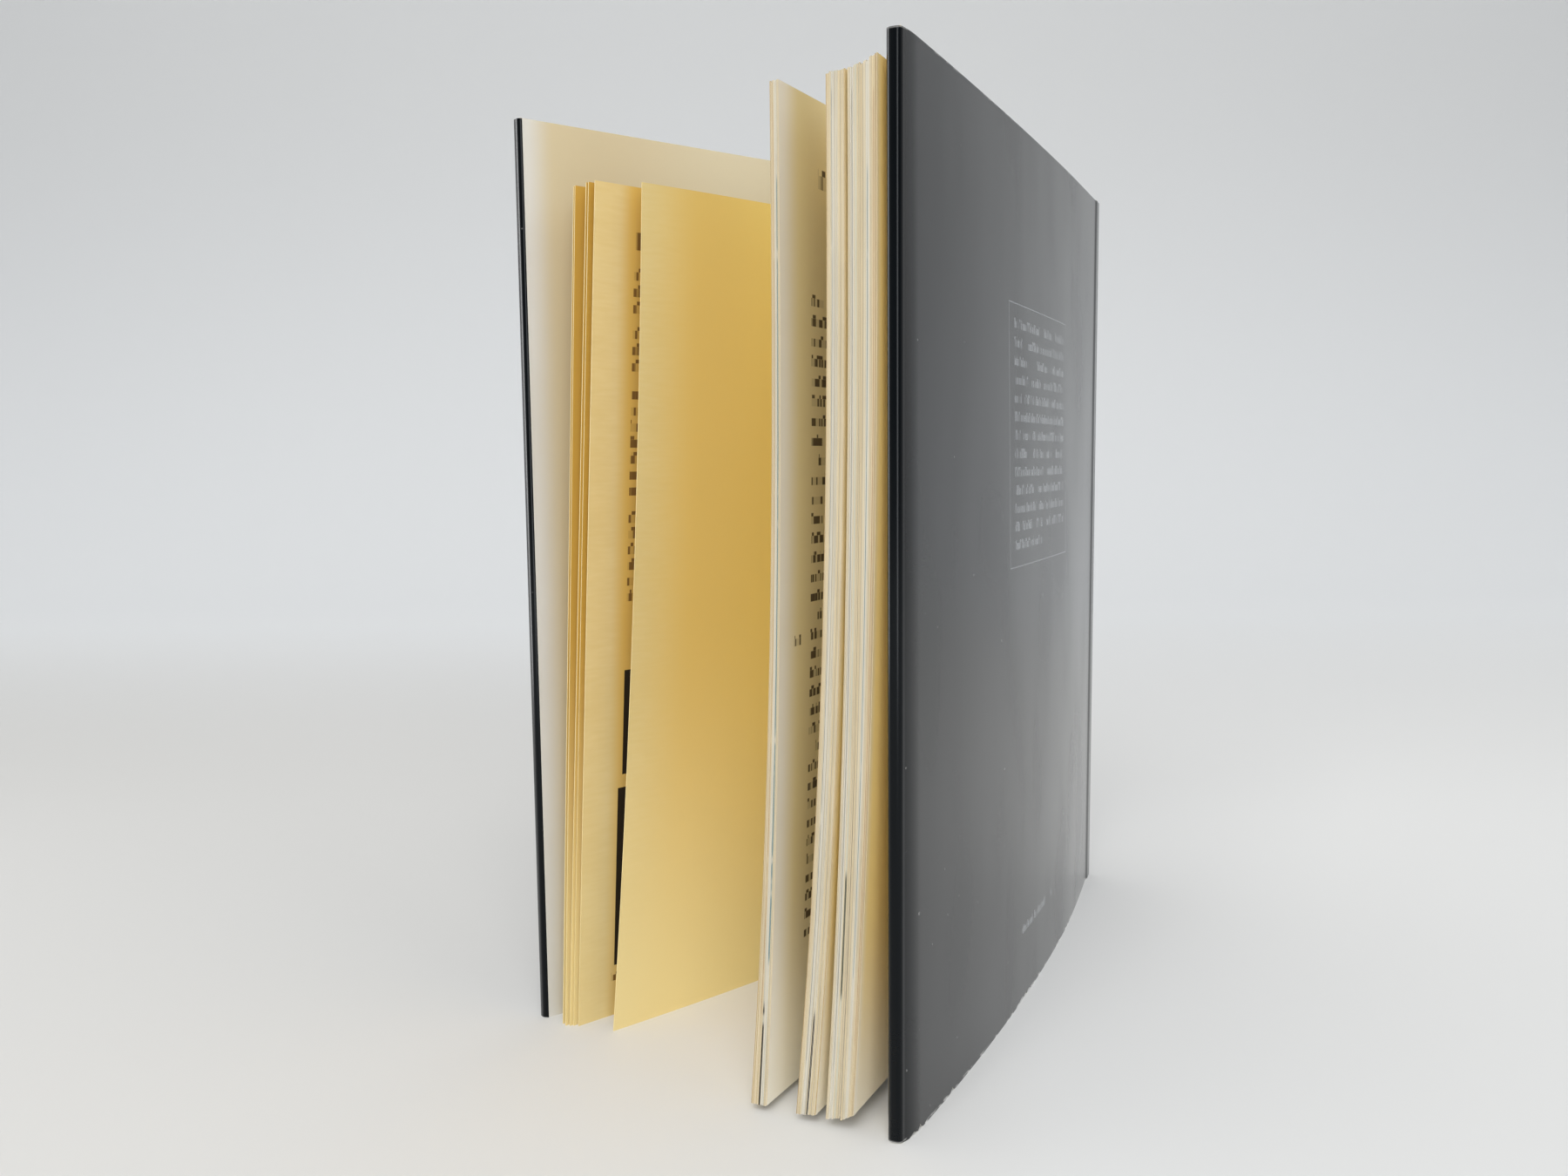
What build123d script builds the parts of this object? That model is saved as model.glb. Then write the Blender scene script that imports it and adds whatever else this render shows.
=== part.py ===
"""Case-bound book in a paper jacket, standing open on its tail with a booklet tucked inside its front cover.

Lengths are in millimetres. +Z is up, the spine faces +Y and the fore-edges face -Y. The back cover is on the
+X side and stands closed; the front cover is on the -X side and stands open by front_open_angle. The origin is
the middle of the spine strip's foot. Each cover is drawn as the back cover, closed; the front cover is its
mirror image, turned about the front joint.
"""
import os

from build123d import *

# Case: three boards wrapped in covering paper
board_height = 227.5
board_width = 182.5
board_thickness = 2.6
board_corner_radius = 0.5
board_edge_radius = 0.4
covering_thickness = 0.5
spine_thickness = 2.0
spine_corner_radius = 1.2

# Joints between the spine strip and the boards
joint_drop = 4.0
joint_run = 3.5
joint_bead_radius = 0.6
joint_clearance = 0.3
front_open_angle = 27.4

# Text block
block_thickness = 15.8
leaf_width = 188.5
tail_square = 1.9
head_square = 6.9
leaf_height = board_height - tail_square - head_square
block_clearance = 0.3

# Leaf groups of the text block, from the front cover's side to the back's
group_thickness_shares = (0.234, 0.310, 0.190, 0.266)
group_edge_tail_shares = (0.246, 0.303, 0.194, 0.185)
group_edge_head_shares = (0.124, 0.272, 0.165, 0.215)
group_lean_tail_shares = (-0.0872, -0.0479, -0.0365, -0.0345)
group_lean_head_shares = (-0.0491, -0.0025, -0.0040, -0.0046)
gap_root_tail_shares = (0.06, 0.45, 0.62)
gap_root_head_shares = (0.06, 0.78, 0.60)
gutter_pull_share = 0.30
gutter_lean_share = 0.12
fore_edge_pull_share = 0.35

# How far the leaf groups have splayed, at shares of the block's height
splay_height_shares = (0.0, 0.14, 0.30, 0.55, 1.0)
splay_shares = (1.0, 0.589, 0.242, 0.0, 0.0)

# Back of the text block
lining_thickness = 0.5
lining_margin = 5.0
hollow = 0.5
band_height = 1.8
band_depth = 1.3
band_tongue = 4.0

# Pastedowns
pastedown_thickness = 0.2
pastedown_margin = 3.0

# Jacket
jacket_reveal = 0.3
jacket_height = board_height - jacket_reveal
jacket_thickness = 0.25
jacket_clearance = 0.2
jacket_joint_gap = 2.5
jacket_fore_clearance = 0.4
flap_width = 88.0
flap_clearance = 0.15
fold_radius_tail = 1.6
fold_radius_head = 0.8
front_bow_tail = 1.2
front_bow_head = 0.6
back_bow_tail = 4.2
back_bow_head = 2.2

# Booklet, a bundle of folded leaves and a last leaf that stands open from it
booklet_height = 210.0
bundle_thickness = 3.0
bundle_fan_tail = 1.9
bundle_fan_head = 5.3
open_leaf_thickness = 0.5
fold_inset_tail = 36.5
fold_inset_head = 31.0
fold_standoff_tail = 0.4
fold_standoff_head = 3.6
bundle_reach_tail = 184.4
bundle_reach_head = 178.3
bundle_standoff_tail = 5.8
bundle_standoff_head = 11.8
open_leaf_reach_tail = 176.3
open_leaf_reach_head = 167.1
open_leaf_standoff_tail = 17.4
open_leaf_standoff_head = 24.6
open_leaf_bow = 3.0
booklet_crotch = 9.0

# Where the layers lie, worked out from the text block outwards
block_side = block_thickness / 2
pastedown_face = block_side + block_clearance
board_inner_face = pastedown_face + pastedown_thickness
board_outer_face = board_inner_face + board_thickness
covering_inner_face = board_outer_face - covering_thickness
spine_face = spine_thickness / 2
lining_back = -spine_face - hollow
block_back = lining_back - lining_thickness
block_head = tail_square + leaf_height
hinge_x = board_outer_face - covering_thickness / 2
hinge_y = -joint_drop
board_back = hinge_y - joint_run
board_fore_edge = board_back - board_width


def upright(outline, height, base=0.0):
    """Solid that stands on a plan outline."""
    return extrude(Pos(0, 0, base) * outline, height)


def plan_rectangle(low_x, high_x, low_y, high_y):
    """Plan rectangle between two corners."""
    centre = Pos((low_x + high_x) / 2, (low_y + high_y) / 2)
    return centre * Rectangle(high_x - low_x, high_y - low_y)


def ruled_between(lower_edges, upper_edges):
    """Solid with straight rulings from one closed plan outline to another above it."""
    return Solid.make_loft([Wire(lower_edges), Wire(upper_edges)], True)


def lines_through(points):
    """Straight edges from point to point."""
    return [Line(start, end) for start, end in zip(points, points[1:])]


def as_front(solid):
    """The same piece on the front cover: mirrored, then opened about the front joint."""
    front_hinge = Pos(-hinge_x, hinge_y)
    return front_hinge * Rot(0, 0, -front_open_angle) * front_hinge.inverse() * mirror(solid, Plane.YZ)


def cover_board():
    """Board wrapped in covering, with the covering's strip that ends in the joint's round bead."""
    board = plan_rectangle(board_inner_face, board_outer_face, board_fore_edge, board_back)
    board = fillet(board.vertices(), board_corner_radius)
    strip_start = board_back - board_corner_radius
    strip = plan_rectangle(covering_inner_face, board_outer_face, strip_start, hinge_y)
    bead = Pos(hinge_x, hinge_y) * Circle(joint_bead_radius)
    solid = upright(board, board_height)
    ends = solid.faces().filter_by(Axis.Z)
    solid = fillet(ends.edges(), board_edge_radius)
    return solid + upright(strip + bead, board_height)


def spine_strip():
    """Third board of the case, whose covering turns down on both sides towards the joints."""
    board = plan_rectangle(-board_outer_face, board_outer_face, -spine_face, spine_face)
    outer_corners = board.vertices().group_by(Axis.Y)[-1]
    board = fillet(outer_corners, spine_corner_radius)
    ear_end = hinge_y + joint_bead_radius + joint_clearance
    ear = plan_rectangle(covering_inner_face, board_outer_face, ear_end, 0)
    return upright(board + ear + mirror(ear, Plane.YZ), board_height)


def spine_lining():
    """Sheet glued over the back of the text block."""
    sheet = plan_rectangle(-block_side, block_side, block_back, lining_back)
    lowest = tail_square + lining_margin
    return upright(sheet, leaf_height - 2 * lining_margin, lowest)


def end_band():
    """Band at the head of the text block's back: a round bead on the leaves, and a tongue behind them."""
    bead_top = block_head + band_height
    bead_front = block_back - band_depth
    tongue_foot = block_head - band_tongue
    section = [
        (lining_back, tongue_foot),
        (lining_back, block_head),
    ]
    crown = ((lining_back + bead_front) / 2, bead_top)
    landing = [
        (bead_front, block_head),
        (block_back, block_head),
        (block_back, tongue_foot),
        (lining_back, tongue_foot),
    ]
    edges = lines_through(section)
    edges.append(ThreePointArc(section[-1], crown, landing[0]))
    edges += lines_through(landing)
    profile = Plane.YZ * Face(Wire(edges))
    return Pos(-block_side, 0, 0) * extrude(profile, block_thickness)


def leaf_curve(start, end):
    """Leaf seen from above: straight out of the gutter, then leaning to where its fore-edge stands."""
    (start_x, start_y), (end_x, end_y) = start, end
    run_x = end_x - start_x
    run_y = end_y - start_y
    leaving = (start_x + gutter_lean_share * run_x, start_y + gutter_pull_share * run_y)
    arriving = (end_x - fore_edge_pull_share * run_x, end_y - fore_edge_pull_share * run_y)
    return Bezier(start, leaving, arriving, end)


def fan_outline(lean_shares, edge_shares, gap_root_shares, height):
    """Plan outline of the text block at one height, with the gaps between its leaf groups."""
    fore_edge = block_back - leaf_width
    roots = [-block_side]
    for share in group_thickness_shares:
        roots.append(roots[-1] + share * block_thickness)
    lefts = [root + share * leaf_width for root, share in zip(roots, lean_shares)]
    rights = [left + share * block_thickness for left, share in zip(lefts, edge_shares)]
    first_corner = (roots[0], block_back)
    last_corner = (roots[-1], block_back)
    edges = []
    start = first_corner
    for index, (left_x, right_x) in enumerate(zip(lefts, rights)):
        left = (left_x, fore_edge)
        right = (right_x, fore_edge)
        crotch = last_corner
        if index < len(gap_root_shares):
            root_share = gap_root_shares[index]
            root_x = roots[index + 1]
            gap_middle = (right_x + lefts[index + 1]) / 2
            crotch_x = root_x + (gap_middle - root_x) * root_share**2
            crotch = (crotch_x, block_back - root_share * leaf_width)
        edges.append(leaf_curve(start, left))
        edges.append(Line(left, right))
        edges.append(leaf_curve(crotch, right))
        start = crotch
    edges.append(Line(last_corner, first_corner))
    return [Pos(0, 0, height) * edge for edge in edges]


def splayed(head_shares, tail_shares, splay_share):
    """Shares of a plan outline where the leaves have splayed by a part of the way from head to tail."""
    return [head + (tail - head) * splay_share for head, tail in zip(head_shares, tail_shares)]


def text_block():
    """All the pages as one solid, pressed together above and splayed towards the tail."""
    sections = []
    for height_share, splay_share in zip(splay_height_shares, splay_shares):
        lean_shares = splayed(group_lean_head_shares, group_lean_tail_shares, splay_share)
        edge_shares = splayed(group_edge_head_shares, group_edge_tail_shares, splay_share)
        gap_root_shares = splayed(gap_root_head_shares, gap_root_tail_shares, splay_share)
        height = tail_square + height_share * leaf_height
        sections.append(Wire(fan_outline(lean_shares, edge_shares, gap_root_shares, height)))
    return Solid.make_loft(sections, False)


def pastedown():
    """Endpaper leaf glued to the inside of a board."""
    fore_edge = board_fore_edge + pastedown_margin
    sheet = plan_rectangle(pastedown_face, board_inner_face, fore_edge, board_back - board_corner_radius)
    return upright(sheet, board_height - 2 * pastedown_margin, pastedown_margin)


def bowed_line(start, end, bow):
    """Line in plan that stands out by bow, towards +X, at its middle."""
    handle_out = bow * 4 / 3
    third = (end[1] - start[1]) / 3
    leaving = (start[0] + handle_out, start[1] + third)
    arriving = (end[0] + handle_out, end[1] - third)
    return Bezier(start, leaving, arriving, end)


def jacket_outline(bow, radius, height):
    """Plan outline of one cover's part of the jacket: panel, fold round the fore-edge, and flap."""
    outer = board_outer_face + jacket_clearance + jacket_thickness
    inner = pastedown_face - flap_clearance - jacket_thickness
    panel_end = hinge_y - jacket_joint_gap
    fold = board_fore_edge - jacket_fore_clearance - jacket_thickness
    flap_end = fold + flap_width
    turn = fold + radius
    wall = jacket_thickness
    bend = radius - wall
    edges = [
        bowed_line((outer, panel_end), (outer, turn), bow),
        RadiusArc((outer, turn), (outer - radius, fold), radius),
        Line((outer - radius, fold), (inner + radius, fold)),
        RadiusArc((inner + radius, fold), (inner, turn), radius),
        Line((inner, turn), (inner, flap_end)),
        Line((inner, flap_end), (inner + wall, flap_end)),
        Line((inner + wall, flap_end), (inner + wall, turn)),
        RadiusArc((inner + wall, turn), (inner + radius, fold + wall), -bend),
        Line((inner + radius, fold + wall), (outer - radius, fold + wall)),
        RadiusArc((outer - radius, fold + wall), (outer - wall, turn), -bend),
        bowed_line((outer - wall, turn), (outer - wall, panel_end), bow),
        Line((outer - wall, panel_end), (outer, panel_end)),
    ]
    return [Pos(0, 0, height) * edge for edge in edges]


def cover_jacket(bow_tail, bow_head):
    """Jacket on one cover: softly rounded and bowed at the tail, creased and flatter at the head."""
    tail = jacket_outline(bow_tail, fold_radius_tail, 0)
    head = jacket_outline(bow_head, fold_radius_head, jacket_height)
    return ruled_between(tail, head)


def spine_jacket():
    """Jacket's middle panel, which turns round the spine strip's two outer corners."""
    inner_x = board_outer_face + jacket_clearance
    inner_y = spine_face + jacket_clearance
    outer_x = inner_x + jacket_thickness
    outer_y = inner_y + jacket_thickness
    outer_radius = spine_corner_radius + jacket_clearance + jacket_thickness
    skin = plan_rectangle(-outer_x, outer_x, -spine_face, outer_y)
    skin = fillet(skin.vertices().group_by(Axis.Y)[-1], outer_radius)
    hollow_space = plan_rectangle(-inner_x, inner_x, -outer_y, inner_y)
    hollow_space = fillet(hollow_space.vertices().group_by(Axis.Y)[-1], outer_radius - jacket_thickness)
    return upright(skin - hollow_space, jacket_height)


def booklet_outline(end, height):
    """Plan outline of the booklet at one end, drawn against the inside of a closed back cover."""
    inset, standoff, bundle_reach, bundle_out, fan, leaf_reach, leaf_out = end
    fold_y = hinge_y - inset
    fold_x = pastedown_face - standoff
    bundle_y = hinge_y - bundle_reach
    bundle_x = pastedown_face - bundle_out
    leaf_y = hinge_y - leaf_reach
    leaf_x = pastedown_face - leaf_out
    spine_out = fold_x
    spine_in = fold_x - bundle_thickness
    bundle_in = bundle_x - bundle_thickness - fan
    leaf_in = leaf_x - open_leaf_thickness
    crotch = (spine_in + open_leaf_thickness, fold_y - booklet_crotch)
    edges = [
        bowed_line((spine_out, fold_y), (bundle_x, bundle_y), 0),
        Line((bundle_x, bundle_y), (bundle_in, bundle_y)),
        bowed_line((bundle_in, bundle_y), crotch, 0),
        bowed_line(crotch, (leaf_x, leaf_y), -open_leaf_bow),
        Line((leaf_x, leaf_y), (leaf_in, leaf_y)),
        bowed_line((leaf_in, leaf_y), (spine_in, fold_y), -open_leaf_bow),
        RadiusArc((spine_in, fold_y), (spine_out, fold_y), bundle_thickness / 2),
    ]
    return [Pos(0, 0, height) * edge for edge in edges]


def booklet():
    """Folded booklet, drawn against a closed back cover, its head leaning away from the cover."""
    tail_end = (
        fold_inset_tail,
        fold_standoff_tail,
        bundle_reach_tail,
        bundle_standoff_tail,
        bundle_fan_tail,
        open_leaf_reach_tail,
        open_leaf_standoff_tail,
    )
    head_end = (
        fold_inset_head,
        fold_standoff_head,
        bundle_reach_head,
        bundle_standoff_head,
        bundle_fan_head,
        open_leaf_reach_head,
        open_leaf_standoff_head,
    )
    return ruled_between(booklet_outline(tail_end, 0), booklet_outline(head_end, booklet_height))


head_band = end_band()
block_middle = tail_square + leaf_height / 2

pieces = {
    "spine_strip": spine_strip(),
    "spine_lining": spine_lining(),
    "head_band": head_band,
    "tail_band": mirror(head_band, Plane.XY.offset(block_middle)),
    "text_block": text_block(),
    "spine_jacket": spine_jacket(),
    "back_board": cover_board(),
    "back_pastedown": pastedown(),
    "back_jacket": cover_jacket(back_bow_tail, back_bow_head),
    "front_board": as_front(cover_board()),
    "front_pastedown": as_front(pastedown()),
    "front_jacket": as_front(cover_jacket(front_bow_tail, front_bow_head)),
    "booklet": as_front(booklet()),
}

os.makedirs("parts", exist_ok=True)
for name, solid in pieces.items():
    export_step(solid, os.path.join("parts", name + ".step"))
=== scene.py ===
"""Dress a case-bound book: fanned leaves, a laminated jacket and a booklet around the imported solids.

Sizes are in millimetres, in the frame of the solids: +Z is up, the spine faces +Y, the back cover stands
on the +X side. Every sheet of paper stands upright, so it is drawn as a line in plan at each height.
"""
from __future__ import annotations

import logging
import math
import random
from dataclasses import dataclass, replace
from enum import Enum
from typing import Callable, Sequence

import bpy
from mathutils import Matrix, Vector

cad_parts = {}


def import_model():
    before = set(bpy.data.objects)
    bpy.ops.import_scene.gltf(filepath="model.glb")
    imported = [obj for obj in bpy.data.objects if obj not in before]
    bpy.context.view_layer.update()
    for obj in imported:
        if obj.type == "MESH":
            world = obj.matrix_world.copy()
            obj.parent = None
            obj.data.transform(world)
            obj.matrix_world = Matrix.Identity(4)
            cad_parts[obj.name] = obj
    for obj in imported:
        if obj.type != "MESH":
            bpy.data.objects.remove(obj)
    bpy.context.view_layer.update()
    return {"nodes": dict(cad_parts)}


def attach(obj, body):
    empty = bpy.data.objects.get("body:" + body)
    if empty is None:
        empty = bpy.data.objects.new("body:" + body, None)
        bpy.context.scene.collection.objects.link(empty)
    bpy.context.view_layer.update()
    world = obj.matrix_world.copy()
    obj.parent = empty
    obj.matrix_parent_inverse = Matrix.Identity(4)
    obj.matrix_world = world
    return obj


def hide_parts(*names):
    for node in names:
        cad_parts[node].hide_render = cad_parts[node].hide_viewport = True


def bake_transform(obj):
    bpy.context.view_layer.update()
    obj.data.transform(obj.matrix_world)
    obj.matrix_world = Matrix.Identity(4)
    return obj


LOG = logging.getLogger("book")
MM = 0.001

Plan = tuple[float, float]
Colour = tuple[float, float, float, float]
Socket = bpy.types.NodeSocket
Feed = float | Socket


class Body(str, Enum):
    """Moving bodies of the book."""

    BLOCK = "book_block"
    FRONT = "front_cover"
    BACK = "back_cover"


def tone(red: int, green: int, blue: int) -> Colour:
    """Turn a display colour into the linear colour that shaders take.

    Args:
        red: Red, 0 to 255.
        green: Green, 0 to 255.
        blue: Blue, 0 to 255.

    Returns:
        Linear colour with full alpha.
    """
    def linear(value: int) -> float:
        """Undo the display curve of one channel."""
        share = value / 255
        return share / 12.92 if share <= 0.04045 else ((share + 0.055) / 1.055) ** 2.4

    return linear(red), linear(green), linear(blue), 1.0


def between(first: float, last: float, share: float) -> float:
    """Value at a share of the way from first to last."""
    return first + (last - first) * share


def eased(value: float, low: float, high: float) -> float:
    """Smooth step from 0 at low to 1 at high."""
    share = min(max((value - low) / (high - low), 0.0), 1.0)
    return share * share * (3 - 2 * share)


class Graph:
    """Node tree of one material, with short calls for the nodes that the finishes share."""

    def __init__(self, name: str) -> None:
        """Make a material with its principled shader.

        Args:
            name: Name of the material.
        """
        self.material = bpy.data.materials.new(name)
        self.material.use_nodes = True
        self.tree = self.material.node_tree
        self.shader = self.tree.nodes["Principled BSDF"]

    def node(self, kind: str, **settings: object) -> bpy.types.Node:
        """Add a node and set its properties.

        Args:
            kind: Node type.
            **settings: Properties of the node.

        Returns:
            The node.
        """
        node = self.tree.nodes.new(kind)
        for key, value in settings.items():
            setattr(node, key, value)
        return node

    def feed(self, target: Socket, value: object) -> None:
        """Link a socket into target, or set target's own value.

        Args:
            target: Socket that takes the value.
            value: Socket to link, or the value.
        """
        if isinstance(value, bpy.types.NodeSocket):
            self.tree.links.new(value, target)
        else:
            target.default_value = value

    def maths(self, operation: str, first: Feed, second: Feed = 0.0, third: Feed = 0.0) -> Socket:
        """Add a Math node.

        Args:
            operation: What the node does.
            first: First value.
            second: Second value.
            third: Third value.

        Returns:
            The result.
        """
        node = self.node("ShaderNodeMath", operation=operation)
        for target, value in zip(node.inputs, (first, second, third)):
            self.feed(target, value)
        return node.outputs[0]

    def step(self, value: Feed, low: Feed, high: Feed) -> Socket:
        """Smooth step of a value, from 0 at low to 1 at high, whichever of the two is larger.

        Args:
            value: What is tested.
            low: Where the step is 0.
            high: Where the step is 1.

        Returns:
            The step.
        """
        node = self.node("ShaderNodeMapRange", interpolation_type="SMOOTHSTEP")
        for target, given in zip(node.inputs, (value, low, high)):
            self.feed(target, given)
        return node.outputs[0]

    def band(self, value: Feed, low: float, high: float, soft: float) -> Socket:
        """Mask of the values between low and high, with soft edges.

        Args:
            value: What is tested.
            low: Lower edge.
            high: Upper edge.
            soft: Width of the edges.

        Returns:
            The mask.
        """
        rising = self.step(value, low - soft / 2, low + soft / 2)
        falling = self.step(value, high + soft / 2, high - soft / 2)
        return self.maths("MULTIPLY", rising, falling)

    def attribute(self, name: str) -> Socket:
        """Float attribute of the mesh."""
        return self.node("ShaderNodeAttribute", attribute_name=name).outputs["Fac"]

    def place(self) -> Socket:
        """Object coordinates, in metres."""
        return self.node("ShaderNodeTexCoord").outputs["Object"]

    def vector(self, x: Feed, y: Feed, z: Feed = 0.0) -> Socket:
        """Vector of three values.

        Args:
            x: First part.
            y: Second part.
            z: Third part.

        Returns:
            The vector.
        """
        node = self.node("ShaderNodeCombineXYZ")
        for target, value in zip(node.inputs, (x, y, z)):
            self.feed(target, value)
        return node.outputs[0]

    def stretched(self, vector: Socket, scale: Sequence[float]) -> Socket:
        """Vector with each of its parts scaled.

        Args:
            vector: The vector.
            scale: Scale of each part.

        Returns:
            The scaled vector.
        """
        node = self.node("ShaderNodeMapping")
        self.feed(node.inputs["Vector"], vector)
        node.inputs["Scale"].default_value = scale
        return node.outputs[0]

    def noise(self, vector: Socket, scale: float, detail: float = 2.0) -> Socket:
        """Noise over a vector.

        Args:
            vector: Where the noise is read.
            scale: Number of its waves in one unit.
            detail: Number of finer layers.

        Returns:
            Noise around one half.
        """
        node = self.node("ShaderNodeTexNoise")
        self.feed(node.inputs["Vector"], vector)
        node.inputs["Scale"].default_value = scale
        node.inputs["Detail"].default_value = detail
        return node.outputs["Fac"]

    def mix(self, share: Feed, first: object, second: object) -> Socket:
        """Colour between two colours.

        Args:
            share: Share of the second colour.
            first: First colour, or a socket.
            second: Second colour, or a socket.

        Returns:
            The colour.
        """
        node = self.node("ShaderNodeMix", data_type="RGBA")
        self.feed(node.inputs["Factor"], share)
        self.feed(node.inputs[6], first)
        self.feed(node.inputs[7], second)
        return node.outputs[2]

    def bump(self, height: Socket, depth: float, strength: float = 1.0) -> None:
        """Raise the surface by a height map.

        Args:
            height: The map, 0 to 1.
            depth: Millimetres that a height of 1 stands for.
            strength: Share of the effect.
        """
        node = self.node("ShaderNodeBump")
        node.inputs["Strength"].default_value = strength
        node.inputs["Distance"].default_value = depth * MM
        self.feed(node.inputs["Height"], height)
        self.feed(self.shader.inputs["Normal"], node.outputs[0])

    def surface(self, colour: object, roughness: Feed, specular: float) -> None:
        """Set the shader's colour, roughness and specular level.

        Args:
            colour: Colour, or a socket.
            roughness: Roughness, or a socket.
            specular: Specular level.
        """
        self.feed(self.shader.inputs["Base Color"], colour)
        self.feed(self.shader.inputs["Roughness"], roughness)
        self.shader.inputs["Specular IOR Level"].default_value = specular


@dataclass(frozen=True)
class Greeking:
    """Lines of stand-in print: dark strokes grouped into words, with no letters in them."""

    start: float
    end: float
    top: float
    pitch: float
    lines: int
    x_height: float
    word: float
    seed: float
    last_end: float
    indents: tuple[int, ...] = ()
    indent: float = 3.0

    def mask(self, graph: Graph, across: Socket, height: Socket) -> Socket:
        """Work out where the ink lies.

        Args:
            graph: Node tree that takes the nodes.
            across: Distance in the reading direction, in millimetres.
            height: Height, in millimetres.

        Returns:
            Ink, 0 to 1.
        """
        drop = graph.maths("SUBTRACT", self.top + self.pitch / 2, height)
        rows = graph.maths("DIVIDE", drop, self.pitch)
        row = graph.maths("FLOOR", rows)
        off = graph.maths("MULTIPLY", graph.maths("SUBTRACT", graph.maths("FRACT", rows), 0.5), self.pitch)
        inside = graph.band(row, -0.5, self.lines - 0.5, 0.02)
        first = self._first(graph, row) if self.indents else self.start
        last_row = graph.maths("COMPARE", row, self.lines - 1.0, 0.1)
        last = graph.maths("MULTIPLY_ADD", last_row, self.last_end - self.end, self.end)
        inside = graph.maths("MULTIPLY", inside, graph.maths("GREATER_THAN", across, first))
        inside = graph.maths("MULTIPLY", inside, graph.maths("LESS_THAN", across, last))
        line = graph.maths("MULTIPLY_ADD", row, 7.31, self.seed)
        words = graph.noise(graph.vector(graph.maths("DIVIDE", across, self.word), line), 1.0, 0.0)
        opening = graph.step(graph.maths("SUBTRACT", across, first), 0.62 * self.word, 0.58 * self.word)
        words = graph.maths("MAXIMUM", opening, graph.step(words, 0.36, 0.40))
        strokes = graph.noise(graph.vector(graph.maths("DIVIDE", across, self.x_height), line, 3.7), 1.7, 0.0)
        risers = graph.noise(graph.vector(graph.maths("DIVIDE", across, self.x_height), line, 8.1), 1.1, 0.0)
        half = self.x_height / 2
        body = graph.band(off, -half, half, 0.15)
        density = graph.maths("MULTIPLY_ADD", graph.step(strokes, 0.44, 0.54), 0.8, 0.2)
        body = graph.maths("MULTIPLY", body, density)
        tall = graph.band(off, -1.9 * half, -half, 0.15)
        tall = graph.maths("MULTIPLY", tall, graph.step(risers, 0.56, 0.60))
        ink = graph.maths("MAXIMUM", body, tall)
        return graph.maths("MULTIPLY", graph.maths("MULTIPLY", inside, words), ink)

    def _first(self, graph: Graph, row: Socket) -> Socket:
        """Where each line starts, with the indented ones moved in.

        Args:
            graph: Node tree that takes the nodes.
            row: Number of the line.

        Returns:
            The start, in millimetres across.
        """
        first: Feed = self.start
        for index in self.indents:
            chosen = graph.maths("COMPARE", row, float(index), 0.1)
            first = graph.maths("MULTIPLY_ADD", chosen, self.indent, first)
        return first


@dataclass(frozen=True)
class Field:
    """Plain printed rectangle, or the rule that frames one."""

    start: float
    end: float
    low: float
    high: float
    rule: float = 0.0

    def mask(self, graph: Graph, across: Socket, height: Socket) -> Socket:
        """Work out where the ink lies.

        Args:
            graph: Node tree that takes the nodes.
            across: Distance in the reading direction, in millimetres.
            height: Height, in millimetres.

        Returns:
            Ink, 0 to 1.
        """
        soft = 0.08
        whole = graph.maths(
            "MULTIPLY",
            graph.band(across, self.start, self.end, soft),
            graph.band(height, self.low, self.high, soft),
        )
        if not self.rule:
            return whole
        inner = graph.maths(
            "MULTIPLY",
            graph.band(across, self.start + self.rule, self.end - self.rule, soft),
            graph.band(height, self.low + self.rule, self.high - self.rule, soft),
        )
        return graph.maths("SUBTRACT", whole, inner)


Print = Greeking | Field


@dataclass(frozen=True)
class Paper:
    """Uncoated paper, faintly clouded, with print where it has some. Away from its edge it can turn to a
    toned colour, partly real toning and partly painted shade and painted bounce light; further in to a paler
    colour, painted light; and at its tail to a paler colour, painted light.
    """

    colour: Colour
    shade: Colour
    ink: Colour = tone(58, 48, 40)
    prints: tuple[Print, ...] = ()
    roughness: float = 0.72
    specular: float = 0.25
    # Toned colour away from the edge: partly real toning, partly painted shade and painted bounce light.
    toning_and_painted_light: Colour | None = None
    toning_and_painted_light_reach: tuple[float, float] = (0.5, 10.0)
    # Paler colour at the tail, with its share and top: painted light.
    painted_foot_light: float = 0.0
    painted_foot_light_top: float = 60.0
    foot: Colour = tone(246, 240, 224)
    # Paler colour further from the edge, and its reach: painted light.
    far: Colour | None = None
    painted_light_reach: tuple[float, float] = (8.0, 34.0)

    def material(self, name: str) -> bpy.types.Material:
        """Make the material.

        Args:
            name: Name of the material.

        Returns:
            The material.
        """
        graph = Graph(name)
        place = graph.place()
        cloud = graph.noise(place, 28.0, 3.0)
        fibre = graph.noise(place, 2600.0, 1.0)
        colour = graph.mix(graph.step(cloud, 0.3, 0.75), self.colour, self.shade)
        # Painted light and shade: a toned colour away from the edge (partly real toning), a paler colour
        # further in and a paler tail.
        if self.toning_and_painted_light:
            distance = graph.maths("ABSOLUTE", graph.attribute("across"))
            share = graph.step(distance, *self.toning_and_painted_light_reach)
            if self.painted_foot_light:
                foot = graph.step(graph.attribute("height"), self.painted_foot_light_top, 0.0)
                left_over = graph.maths("MULTIPLY_ADD", foot, -self.painted_foot_light, 1.0)
                share = graph.maths("MULTIPLY", share, left_over)
                colour = graph.mix(foot, colour, self.foot)
            toning_and_painted_light: object = self.toning_and_painted_light
            if self.far:
                toning_and_painted_light = graph.mix(graph.step(distance, *self.painted_light_reach), self.toning_and_painted_light, self.far)
            colour = graph.mix(share, colour, toning_and_painted_light)
        if self.prints:
            across, height = graph.attribute("across"), graph.attribute("height")
            for work in self.prints:
                colour = graph.mix(work.mask(graph, across, height), colour, self.ink)
        graph.surface(colour, self.roughness, self.specular)
        graph.bump(fibre, 0.02, 0.35)
        return graph.material


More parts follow.
